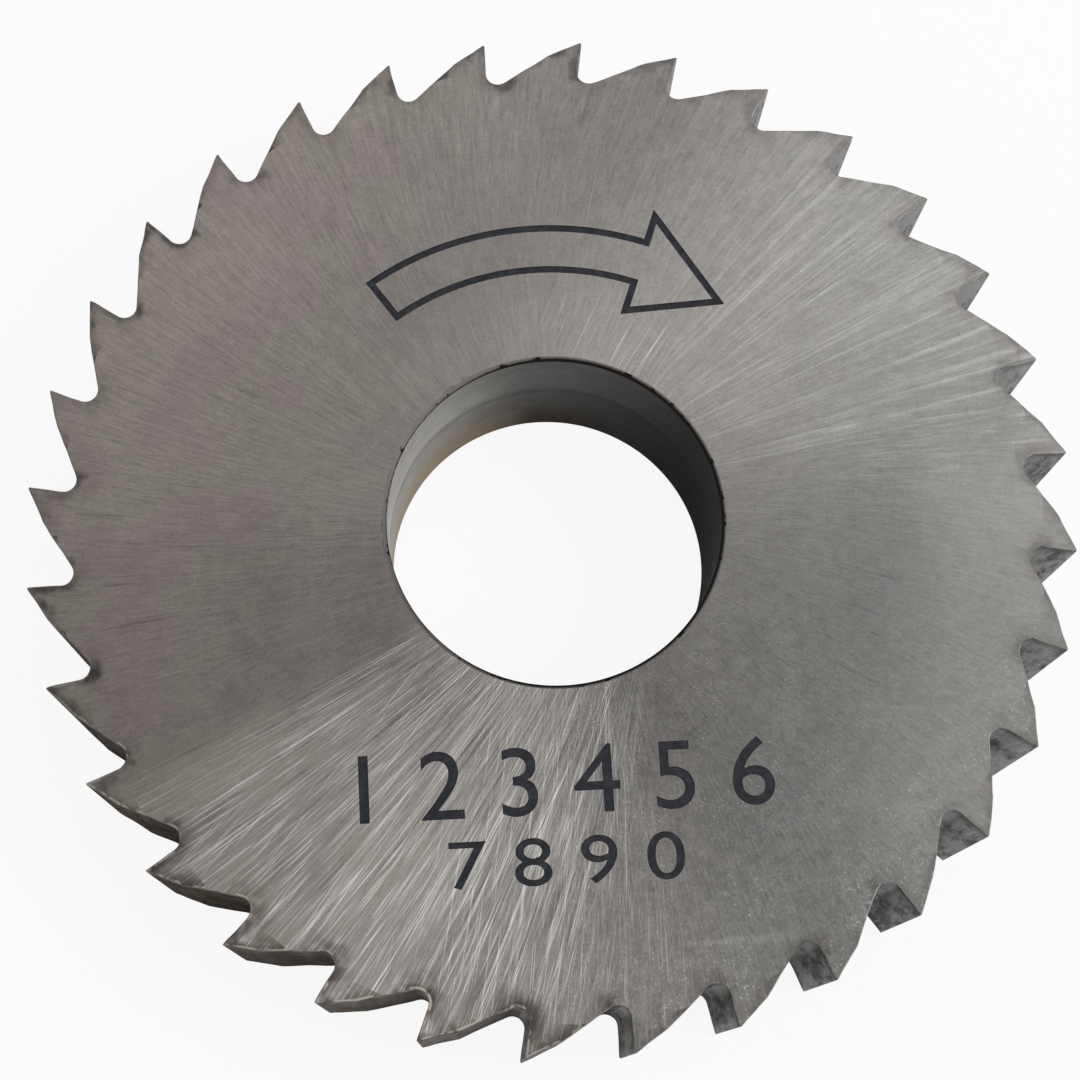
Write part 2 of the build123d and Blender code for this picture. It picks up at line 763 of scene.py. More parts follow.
@dataclass(frozen=True)
class GroundSide:
    """The flat ground side: satin steel with a radial lay, painted sheen and shade by angle, scratches in fans with a
    painted glint on the bright ones, flecks, stains at the gullets and painted shade along the teeth's outline.
    """

    form: ToothForm
    bore_rim: float
    cool_steel: Colour = (0.277, 0.269, 0.257)
    warm_steel: Colour = (0.302, 0.270, 0.243)
    stain: Colour = (0.075, 0.058, 0.046)
    # the colour of the painted shade along the teeth's outline and at the bore's rim
    painted_shade: Colour = (0.045, 0.041, 0.039)
    burr: Colour = (0.60, 0.54, 0.46)
    # colour of the painted glint on the bright scratches
    scratch_glint: Colour = (0.302, 0.296, 0.286)
    roughness: float = 0.42
    anisotropy: float = 0.65
    inner_lay: Fan = Fan((0.3, -0.2), 62.0, 0.9, 0.8, 3.0, 3.0)
    outer_lay: Fan = Fan((-0.3, 0.3), 115.0, 1.1, 0.8, 9.0, 3.0)
    dashes: Fan = Fan((0.0, 0.0), 220.0, 4.5, 0.3, 14.0, 2.0)
    # the scratches with a tone above 0 are real scratches with a painted glint
    marks: tuple[Scratches | Flecks, ...] = (
        Scratches(Fan((2.4, 1.0), 400.0, 0.24, 0.3, 5.0), Sector((2.4, 1.0), 243.0, 25.0, 1.2, 9.0), 0.54, 1.0),
        Scratches(Fan((2.1, 0.6), 170.0, 0.16, 0.2, 15.0), Sector((2.4, 1.0), 241.0, 23.0, 1.2, 9.0), 0.58, 0.75),
        Scratches(Fan((1.2, -0.6), 430.0, 0.32, 0.0, 25.0), Sector((2.4, 1.0), 246.0, 26.0, 2.5, 12.0), 0.57, 0.8),
        Scratches(Fan((2.4, 1.0), 120.0, 0.26, 0.3, 35.0), Sector((2.4, 1.0), 243.0, 25.0, 1.2, 9.0), 0.50, -0.34, 0.14),
        Scratches(Fan((0.6, 16.0), 700.0, 0.20, 0.0, 45.0, 1.0), Sector((0.0, 0.0), 274.0, 17.0, 7.0, 7.0), 0.59, 0.8),
        Scratches(Fan((9.0, 14.0), 800.0, 0.20, 0.0, 48.0, 1.0), Sector((2.4, 1.0), 246.0, 22.0, 3.0, 9.0), 0.61, 0.8),
        Scratches(
            Fan((-0.8, 0.3), 60.0, 0.16, 0.0, 58.0),
            Sector((0.0, 0.0), 44.0, 24.0, 9.0, 9.0, 4.6),
            0.46,
            0.20,
            sharpness=0.2,
            breaks=0.3,
            faintest=0.5,
        ),
        Scratches(
            Fan((-0.8, 0.3), 150.0, 0.14, 0.0, 55.0),
            Sector((0.0, 0.0), 40.0, 21.0, 8.0, 8.0, 3.5),
            0.55,
            0.24,
            sharpness=0.12,
            breaks=0.3,
            faintest=0.4,
        ),
        Scratches(Fan((2.4, 2.9), 150.0, 0.14, 0.0, 61.0), Sector((2.4, 2.9), 38.0, 10.0, 3.0, 4.0, far=7.0), 0.60, 0.5),
        Scratches(Fan((-2.0, 0.6), 95.0, 0.34, 0.0, 62.0), Sector((0.0, 0.0), 19.0, 7.0, 4.0, 5.0, 7.0), 0.50, 0.28, 0.16),
        Scratches(Fan((-4.0, -6.5), 600.0, 0.2, 0.0, 75.0, 1.0), Sector((0.0, 0.0), 80.0, 22.0, near=4.0, far=5.6), 0.58, 0.6),
        Scratches(Fan((-9.0, -5.0), 300.0, 0.3, 0.0, 79.0), Sector((0.0, 0.0), 158.0, 12.0, near=4.0, far=5.2), 0.62, 0.4),
        Scratches(Fan((0.0, 0.0), 420.0, 0.30, 0.6, 85.0, 1.0), None, 0.70, 0.45),
        Scratches(Fan((0.5, 0.3), 200.0, 0.40, 0.4, 95.0), Sector((0.0, 0.0), 178.0, 38.0, 8.0, 12.0), 0.60, -0.22),
        Scratches(Fan((-0.5, 0.2), 150.0, 0.55, 0.3, 98.0), Sector((0.0, 0.0), 340.0, 30.0, 12.0, 12.0, 4.5, 9.0), 0.62, -0.20),
        Flecks(Sector((0.0, 0.0), 303.0, 34.0, 12.0, 12.0), 0.055, 0.65, 0.55),
        Flecks(Sector((0.0, 0.0), 308.0, 34.0, 12.0, 12.0), 0.10, 0.69, 0.45),
        Flecks(Sector((0.0, 0.0), 312.0, 40.0, 12.0, 12.0, 11.0), 0.08, 0.63, 0.50),
    )
    # painted sheen and painted shade: slices of the side made brighter where the lay would catch the lamps, darker
    # where it would not
    patches: tuple[SheenShadePatch, ...] = (
        SheenShadePatch(Sector((0.0, 0.0), 206.0, 16.0, 9.0, 3.0, far=8.5, reach_blur=2.5), -0.15),
        SheenShadePatch(Sector((0.0, 0.0), 295.0, 18.0, 10.0, 12.0), -0.20),
        SheenShadePatch(Sector((0.0, 0.0), 238.0, 20.0, 4.0, 8.0, near=7.5, reach_blur=2.0), 0.34),
        SheenShadePatch(Sector((0.0, 0.0), 236.0, 18.0, 6.0, 8.0, far=5.6), -0.10),
        SheenShadePatch(Sector((0.0, 0.0), 122.0, 18.0, 10.0, 10.0, far=5.6), 0.14),
        SheenShadePatch(Sector((0.0, 0.0), 170.0, 40.0, 10.0, 10.0, near=8.5, reach_blur=1.5), 0.08),
        SheenShadePatch(Sector((0.0, 0.0), 347.0, 26.0, 10.0, 10.0, near=9.0, reach_blur=1.5), 0.28),
        SheenShadePatch(Sector((0.0, 0.0), 90.0, 20.0, 12.0, 12.0, far=6.0, reach_blur=1.5), 0.20),
        SheenShadePatch(Sector((0.0, 0.0), 82.0, 12.0, 10.0, 10.0, near=8.5, reach_blur=1.5), -0.12),
        SheenShadePatch(Sector((5.7, -4.4), 0.0, 190.0, 1.0, 1.0, near=-1.0, far=0.35, reach_blur=0.35), 0.12),
        SheenShadePatch(Sector((2.0, -10.0), 8.0, 1.8, 1.2, 1.2, near=1.6, far=4.0), 0.16),
    )
    calm: Sector = Sector((0.0, 0.0), 310.0, 34.0, 16.0, 16.0)
    mauve: Colour = (0.262, 0.226, 0.226)

    def painted(
        self,
        sheet: NodeSheet,
        surface: NodeSocket,
        items: tuple[Scratches | Flecks | SheenShadePatch, ...],
    ) -> NodeSocket:
        """Draws marks and adds each one as soon as it is drawn, because a shader holds few values at once.

        Args:
            sheet: The material's nodes.
            surface: The surface's coordinates.
            items: The marks.

        Returns:
            The change of brightness.
        """
        value = items[0].paint(sheet, surface)
        for item in items[1:]:
            value = sheet.math("ADD", value, item.paint(sheet, surface))
        return value

    def lay(self, sheet: NodeSheet, surface: NodeSocket) -> NodeSocket:
        """Draws the fine radial lines, about as wide near the rim as near the bore.

        Args:
            sheet: The material's nodes.
            surface: The surface's coordinates.

        Returns:
            The lines, around 0.5.
        """
        radius = sheet.vector("LENGTH", sheet.vector("MULTIPLY", surface, (1.0, 1.0, 0.0)))
        outer = sheet.step(radius, 5.0, 9.0)
        inner = sheet.math("SUBTRACT", 1.0, outer)
        return sheet.total(
            sheet.product(self.inner_lay.streaks(sheet, surface), inner),
            sheet.product(self.outer_lay.streaks(sheet, surface), outer),
        )

    def ground(self, sheet: NodeSheet, surface: NodeSocket, lay: NodeSocket) -> NodeSocket:
        """Adds up the brightness of the lay, the painted sheen and shade patches, the mottle and the grain.

        Args:
            sheet: The material's nodes.
            surface: The surface's coordinates.
            lay: The fine lines.

        Returns:
            The brightness, around 1.
        """
        mottle = sheet.noise(surface, 0.9, 2.0, 0.6)
        specks = sheet.noise(surface, 4.5, 2.0, 0.75)
        dashes = self.dashes.streaks(sheet, surface)
        grain = sheet.noise(surface, 15.0, 0.0)
        calm = self.calm.share(sheet, surface)
        lined = sheet.math("MULTIPLY_ADD", calm, -0.22, 0.42)
        rough = sheet.math("MULTIPLY_ADD", calm, 0.25, 0.40)
        return sheet.total(
            sheet.math("MULTIPLY_ADD", sheet.math("SUBTRACT", lay, 0.5), lined, 1.0),
            sheet.math("MULTIPLY_ADD", mottle, 0.24, -0.12),
            sheet.math("MULTIPLY_ADD", grain, 0.24, -0.12),
            sheet.product(sheet.math("SUBTRACT", specks, 0.5), rough, 0.9),
            sheet.product(sheet.math("SUBTRACT", dashes, 0.5), rough, 0.8),
            # painted sheen and shade
            self.painted(sheet, surface, self.patches),
        )

    def stained(self, sheet: NodeSheet, surface: NodeSocket, inward: NodeSocket) -> NodeSocket:
        """Masks the brown stains beside the teeth's outline, which are strongest at the bottom.

        Args:
            sheet: The material's nodes.
            surface: The surface's coordinates.
            inward: The distance from the outline.

        Returns:
            The stain's share.
        """
        beside = sheet.step(inward, 0.0, 0.6, 1.0, 0.0)
        cloud = sheet.step(sheet.noise(surface, 1.3, 2.0, 0.65), 0.36, 0.60)
        bottom = Sector((0.0, 0.0), 256.0, 30.0, 15.0, 15.0).share(sheet, surface)
        strength = sheet.math("MULTIPLY_ADD", bottom, 0.58, 0.20)
        return sheet.product(beside, cloud, strength)

    def edge_shade(self, sheet: NodeSheet, surface: NodeSocket, inward: NodeSocket) -> NodeSocket:
        """Masks the ragged painted shade along the teeth's outline, stronger towards the left, and along the upper
        left of the bore's rim.

        Args:
            sheet: The material's nodes.
            surface: The surface's coordinates.
            inward: The distance from the outline.

        Returns:
            The painted shade's share.
        """
        ragged = sheet.noise(surface, 1.7, 2.0, 0.6)
        reach = sheet.math("MULTIPLY_ADD", ragged, 0.9, -0.31)
        at_teeth = sheet.step(sheet.math("SUBTRACT", inward, reach), -0.15, 0.12, 1.0, 0.0)
        patchy = sheet.step(sheet.noise(surface, 1.1, 2.0, 0.6), 0.40, 0.60, 0.22, 0.80)
        x, _, _ = sheet.parts(surface)
        leftward = sheet.step(x, -6.0, 6.0, 1.0, 0.4)
        radius = sheet.vector("LENGTH", sheet.vector("MULTIPLY", surface, (1.0, 1.0, 0.0)))
        # the ragged reach of the painted shade at the bore's rim
        rim_shade_reach = sheet.math("MULTIPLY_ADD", ragged, 0.6, self.bore_rim - 0.34)
        at_bore = sheet.step(sheet.math("SUBTRACT", radius, rim_shade_reach), -0.03, 0.04, 0.7, 0.0)
        upper_left = Sector((0.0, 0.0), 162.0, 34.0, 10.0, 10.0).share(sheet, surface)
        return sheet.math(
            "MAXIMUM",
            sheet.product(at_teeth, patchy, leftward),
            sheet.product(at_bore, upper_left),
        )

    def burred(self, sheet: NodeSheet, surface: NodeSocket, inward: NodeSocket) -> NodeSocket:
        """Masks the bright burr in a hair's breadth along the teeth's outline.

        Args:
            sheet: The material's nodes.
            surface: The surface's coordinates.
            inward: The distance from the outline.

        Returns:
            The burr's share.
        """
        hair = sheet.step(inward, 0.04, 0.08, 0.9, 0.0)
        bitten = sheet.step(sheet.noise(surface, 2.4, 2.0, 0.7), 0.44, 0.56)
        below = Sector((0.0, 0.0), 238.0, 34.0, 18.0, 18.0).share(sheet, surface)
        return sheet.product(hair, bitten, below)

    def material(self) -> Material:
        """Makes the finish.

        Returns:
            The material.
        """
        sheet = NodeSheet("ground_side")
        surface = sheet.place()
        x, _, _ = sheet.parts(surface)
        lay = self.lay(sheet, surface)
        marks = self.painted(sheet, surface, self.marks)
        tone = sheet.math("MAXIMUM", sheet.total(self.ground(sheet, surface, lay), marks), 0.25)
        blush = sheet.step(sheet.noise(surface, 0.45, 1.0, 0.6), 0.46, 0.66, 0.0, 0.55)
        warm = sheet.mix(blush, self.warm_steel, self.mauve)
        steel = sheet.mix(sheet.step(x, -10.0, 9.0), warm, self.cool_steel)
        # painted glint: where the scratches are bright, the steel turns towards the glint's colour
        steel = sheet.mix(sheet.step(marks, 0.0, 0.6), steel, self.scratch_glint)
        inward = ToothPlace(self.form).inward(sheet, surface)
        colour = sheet.mix(self.stained(sheet, surface, inward), sheet.vector("SCALE", steel, tone), self.stain)
        # painted shade along the teeth's outline, stronger towards the left, and at the upper left of the bore's rim
        colour = sheet.mix(self.edge_shade(sheet, surface, inward), colour, self.painted_shade)
        colour = sheet.mix(self.burred(sheet, surface, inward), colour, self.burr)
        rough = sheet.math("MULTIPLY_ADD", lay, -0.16, self.roughness + 0.08)
        tangent = sheet.add("ShaderNodeTangent", direction_type="RADIAL", axis="Z")
        grooves = replace(self.outer_lay, detail=1.0).streaks(sheet, surface)
        return sheet.shade(
            colour,
            rough,
            1.0,
            Anisotropic=self.anisotropy,
            Tangent=tangent.outputs[0],
            Normal=sheet.bump(grooves, 0.004),
        )


@dataclass(frozen=True)
class WornEdge:
    """The narrow rounding of the edges: burr that is bright in places and dirty in others."""

    bright: Colour = (0.38, 0.37, 0.35)
    dirty: Colour = (0.12, 0.11, 0.10)

    def material(self) -> Material:
        """Makes the finish.

        Returns:
            The material.
        """
        sheet = NodeSheet("worn_edge")
        patches = sheet.step(sheet.noise(sheet.place(), 1.6, 3.0, 0.7), 0.36, 0.64)
        return sheet.shade(sheet.mix(patches, self.dirty, self.bright), 0.5, 1.0)


@dataclass(frozen=True)
class BoreEdge:
    """The chamfer of the bore: steel like the side, with a thin line of painted dark reflection where it meets the
    wall, ragged and wider on the right.
    """

    bore_radius: float
    steel: Colour = (0.33, 0.318, 0.30)
    # the colour of the painted dark reflection on the chamfer
    dark: Colour = (0.030, 0.028, 0.027)
    line: float = 0.03
    chip: float = 0.09

    def material(self) -> Material:
        """Makes the finish.

        Returns:
            The material.
        """
        sheet = NodeSheet("bore_edge")
        surface = sheet.place()
        x, y, _ = sheet.parts(surface)
        radius = sheet.vector("LENGTH", sheet.join(x, y))
        chips = sheet.step(sheet.noise(surface, 2.2, 3.0, 0.7), 0.54, 0.70, 0.0, self.chip)
        # painted shade: the dark line is wider on the right side of the bore
        shade_widening = sheet.step(x, -3.0, 0.0, 0.0, 0.045)
        reach = sheet.total(chips, shade_widening, self.bore_radius)
        depth = sheet.math("SUBTRACT", radius, reach)
        line = sheet.step(depth, self.line - 0.03, self.line + 0.01, 1.0, 0.0)
        return sheet.shade(sheet.mix(line, self.steel, self.dark), 0.5, 1.0)


@dataclass(frozen=True)
class RakeFace:
    """The front of a tooth: grey steel with blotches, a dark band along the upper side and a dark root.

    Attributes:
        form: The tooth's form.
        top: The height of the upper side.
        dark: The colour of the oil and scale.
        light: The bare steel.
        band: How far down the dark band reaches.
        clean: The teeth whose fronts are nearly as bright as the side.
    """

    form: ToothForm
    top: float
    dark: Colour = (0.095, 0.096, 0.102)
    light: Colour = (0.45, 0.45, 0.45)
    band: float = 0.4
    clean: Sector = Sector((0.0, 0.0), 56.0, 34.0, 12.0, 12.0)

    def material(self) -> Material:
        """Makes the finish.

        Returns:
            The material.
        """
        sheet = NodeSheet("rake_face")
        surface = sheet.place()
        x, y, z = sheet.parts(surface)
        radius = sheet.vector("LENGTH", sheet.join(x, y))
        tall = sheet.vector("MULTIPLY", surface, (1.0, 1.0, 0.28))
        clouds = sheet.noise(tall, 1.3, 3.0, 0.6)
        blots = sheet.noise(tall, 4.0, 3.0, 0.7)
        patchy = sheet.total(sheet.product(clouds, 0.45), sheet.product(blots, 0.6))
        share = sheet.step(patchy, 0.40, 0.60)
        ragged_height = sheet.math("MULTIPLY_ADD", blots, 0.8, z)
        below_band = sheet.step(ragged_height, self.top + 0.3 - self.band, self.top + 0.5, 1.0, 0.15)
        root = self.form.root_radius
        outward = sheet.step(radius, root + 0.05, root + 0.45, 0.5, 1.0)
        clean = sheet.product(self.clean.share(sheet, surface), sheet.step(patchy, 0.38, 0.50), 0.9)
        bare = sheet.math("MAXIMUM", sheet.product(share, outward, below_band), clean)
        return sheet.shade(sheet.mix(bare, self.dark, self.light), 0.5, 1.0, Normal=sheet.bump(blots, 0.02))


@dataclass(frozen=True)
class MilledBack:
    """The back of a tooth and the bottom of a gullet: smooth, nearly black where oil has darkened it.

    Attributes:
        name: The material's name.
        oiled: The colour under the oil.
        bare: The colour of the bare steel.
        oiled_rim: The tint of the oiled steel at a low angle.
        bare_rim: The tint of the bare steel at a low angle.
    """

    name: str
    oiled: Colour
    bare: Colour
    oiled_rim: Colour = (0.62, 0.53, 0.47)
    bare_rim: Colour = (0.95, 0.93, 0.90)

    def material(self) -> Material:
        """Makes the finish.

        Returns:
            The material.
        """
        sheet = NodeSheet(self.name)
        surface = sheet.place()
        cutter_lines = sheet.noise(sheet.vector("MULTIPLY", surface, (5.0, 5.0, 0.5)), 1.0, 3.0, 0.6)
        clouds = sheet.noise(surface, 0.8, 3.0, 0.6)
        blots = sheet.noise(surface, 3.2, 3.0, 0.7)
        bottom = Sector((0.0, 0.0), 275.0, 28.0, 18.0, 30.0).share(sheet, surface)
        share = sheet.total(
            sheet.product(bottom, 0.42),
            sheet.math("MULTIPLY_ADD", clouds, 0.7, -0.27),
            sheet.math("MULTIPLY_ADD", blots, 0.5, -0.22),
            sheet.math("MULTIPLY_ADD", cutter_lines, 0.8, -0.38),
        )
        share = sheet.math("MAXIMUM", sheet.math("MINIMUM", share, 1.0), 0.0)
        return sheet.shade(
            sheet.mix(share, self.oiled, self.bare),
            0.48,
            1.0,
            Specular_Tint=sheet.mix(share, self.oiled_rim, self.bare_rim),
            Normal=sheet.bump(cutter_lines, 0.008),
        )


@dataclass(frozen=True)
class BoreWall:
    """The ground wall of the bore: rings from the grinding, painted light on one side fading to painted shade on the
    other, a painted sheen on its upper half and painted shade low in the bore, with rust low on the lit side.
    """

    # black, grey and bare are the painted shade, the half-lit grey and the painted light of the wall, chosen by
    # direction round the bore
    black: Colour = (0.030, 0.0285, 0.0285)
    grey: Colour = (0.25, 0.242, 0.235)
    bare: Colour = (0.74, 0.725, 0.70)
    rust: Colour = (0.56, 0.45, 0.29)
    painted_shade: Colour = (0.10, 0.075, 0.055)
    # the direction in which the wall carries its painted light
    lit_towards: float = 176.0
    ring_height: float = 2.75

    def material(self) -> Material:
        """Makes the finish.

        Returns:
            The material.
        """
        sheet = NodeSheet("bore_wall")
        surface = sheet.place()
        x, y, z = sheet.parts(surface)
        rings = sheet.noise(sheet.vector("MULTIPLY", surface, (0.25, 0.25, 9.0)), 1.0, 3.0, 0.6)
        clouds = sheet.noise(surface, 0.7, 3.0, 0.6)
        # painted light towards one side, fading through grey to black painted shade on the far side
        towards, _, _ = sheet.parts(sheet.turn(sheet.join(x, y), -self.lit_towards))
        cloudy = sheet.math("MULTIPLY_ADD", clouds, 1.2, towards)
        bare = sheet.step(cloudy, 1.4, 4.4)
        grey = sheet.step(cloudy, -3.0, 1.6)
        colour = sheet.mix(bare, sheet.mix(grey, self.black, self.grey), self.bare)
        # painted shade low in the bore, with rust there on the lit side
        low = sheet.step(sheet.math("MULTIPLY_ADD", clouds, 1.4, z), 0.8, 3.4, 0.85, 0.0)
        rusty = sheet.step(cloudy, 1.2, 3.4)
        colour = sheet.mix(sheet.product(low, grey), colour, sheet.mix(rusty, self.painted_shade, self.rust))
        ring = sheet.math("ABSOLUTE", sheet.math("SUBTRACT", z, self.ring_height))
        tone = sheet.product(
            sheet.math("MULTIPLY_ADD", rings, 0.34, 0.83),
            sheet.math("MULTIPLY_ADD", sheet.noise(surface, 1.8, 3.0, 0.65), 0.5, 0.75),
            sheet.step(ring, 0.05, 0.25, 0.75, 1.0),
            # painted sheen on the upper half of the wall, painted shade on the lower half
            sheet.step(z, self.ring_height - 0.3, self.ring_height + 0.3, 0.85, 1.15),
        )
        return sheet.shade(sheet.vector("SCALE", colour, tone), 0.52, 1.0, Normal=sheet.bump(rings, 0.01))


@dataclass(frozen=True)
class EtchedMark:
    """The etched marks: a nearly black blue-grey film, a little uneven."""

    film: Colour = (0.008, 0.010, 0.015)
    worn: Colour = (0.026, 0.029, 0.036)

    def material(self) -> Material:
        """Makes the finish.

        Returns:
            The material.
        """
        sheet = NodeSheet("etched_mark")
        wear = sheet.step(sheet.noise(sheet.place(), 4.0, 3.0, 0.6), 0.40, 0.70)
        return sheet.shade(sheet.mix(wear, self.film, self.worn), 0.62, 0.2)


@dataclass
class RotationArrow:
    """An outlined arrow round the bore that shows which way the saw turns."""

    radius: float = 6.9
    starts: float = 131.0
    head_starts: float = 76.0
    ends: float = 56.0
    band: float = 1.25
    head: float = 2.9
    stroke: float = 0.17
    steps: int = 24

    def draw(self, bm: bmesh.types.BMesh) -> None:
        """Draws the arrow's outline as a flat strip.

        Args:
            bm: The mesh to draw in.
        """
        inner, outer = (
            bm.verts.new(turned(Vector((self.radius + side * self.band / 2, 0.0, 0.0)), self.starts))
            for side in (-1.0, 1.0)
        )
        edge = bm.edges.new((inner, outer))
        swept = bmesh.ops.spin(
            bm,
            geom=[edge],
            axis=UP,
            angle=math.radians(self.head_starts - self.starts),
            steps=self.steps,
        )
        neck = [item for item in swept["geom_last"] if isinstance(item, bmesh.types.BMVert)]
        neck.sort(key=lambda vert: vert.co.length)
        barbs = [
            bm.verts.new(turned(Vector((self.radius + side * self.head / 2, 0.0, 0.0)), self.head_starts))
            for side in (-1.0, 1.0)
        ]
        point = bm.verts.new(turned(Vector((self.radius, 0.0, 0.0)), self.ends))
        head = bm.faces.new((barbs[0], neck[0], neck[1], barbs[1], point))
        bmesh.ops.recalc_face_normals(bm, faces=bm.faces)
        if head.normal.z < 0.0:
            bmesh.ops.reverse_faces(bm, faces=bm.faces)
        inset = bmesh.ops.inset_region(
            bm,
            faces=[*bm.faces],
            thickness=self.stroke,
            use_boundary=True,
            use_even_offset=True,
        )
        rim = set(inset["faces"])
        bmesh.ops.delete(bm, geom=[face for face in bm.faces if face not in rim], context="FACES")


@dataclass
class DigitRow:
    """A row of plain counting digits, as on a dial."""

    digits: str
    height: float
    length: float
    middle: Point
    tilt: float
    thinning: float

    def outline(self) -> Mesh:
        """Turns the digits into their bare outlines, placed on the side.

        Returns:
            The outlines, as a mesh without faces.
        """
        text = bpy.data.curves.new("digits", "FONT")
        text.body = self.digits
        text.offset = self.thinning
        text.fill_mode = "NONE"
        carrier = link("digits", text)
        bpy.context.view_layer.update()
        mesh = bpy.data.meshes.new_from_object(carrier.evaluated_get(bpy.context.evaluated_depsgraph_get()))
        bpy.data.objects.remove(carrier)
        corners = [vert.co for vert in mesh.vertices]
        low = Vector((min(co.x for co in corners), min(co.y for co in corners), 0.0))
        high = Vector((max(co.x for co in corners), max(co.y for co in corners), 0.0))
        size = high - low
        mesh.transform(
            Matrix.Translation((*self.middle, 0.0))
            @ Matrix.Rotation(math.radians(self.tilt), 4, "Z")
            @ Matrix.Diagonal((self.length / size.x, self.height / size.y, 1.0, 1.0))
            @ Matrix.Translation(-(low + high) / 2)
        )
        return mesh


@dataclass
class EtchedMarks:
    """The marks on the upper side: a rotation arrow above the bore and two rows of plain digits below it."""

    top: float
    depth: float = 0.02
    clearance: float = 0.2
    arrow: RotationArrow = field(default_factory=RotationArrow)
    rows: tuple[DigitRow, ...] = (
        DigitRow("1 2 3 4 5 6", 1.6, 9.6, (0.62, -6.2), 6.3, 0.004),
        DigitRow("7 8 9 0", 1.1, 5.4, (0.72, -8.05), 6.3, 0.010),
    )

    def cutter(self, finish: Material) -> Object:
        """Makes the solid that sinks the marks into the side.

        The flat outlines all face up, so the extrusion faces outwards by itself.

        Args:
            finish: The finish that the sunk faces get.

        Returns:
            The solid.
        """
        bm = bmesh.new()
        self.arrow.draw(bm)
        for row in self.rows:
            bm.from_mesh(row.outline())
        bmesh.ops.remove_doubles(bm, verts=bm.verts, dist=2e-3)
        loose = [edge for edge in bm.edges if not edge.link_faces]
        bmesh.ops.triangle_fill(bm, use_beauty=True, use_dissolve=False, edges=loose, normal=UP)
        bmesh.ops.translate(bm, verts=bm.verts, vec=UP * (self.top - self.depth))
        raised = bmesh.ops.extrude_face_region(bm, geom=[*bm.faces])
        verts = [item for item in raised["geom"] if isinstance(item, bmesh.types.BMVert)]
        bmesh.ops.translate(bm, verts=verts, vec=UP * (self.depth + self.clearance))
        mesh = bpy.data.meshes.new("mark_cutter")
        bm.to_mesh(mesh)
        bm.free()
        mesh.materials.append(finish)
        return link("mark_cutter", mesh)


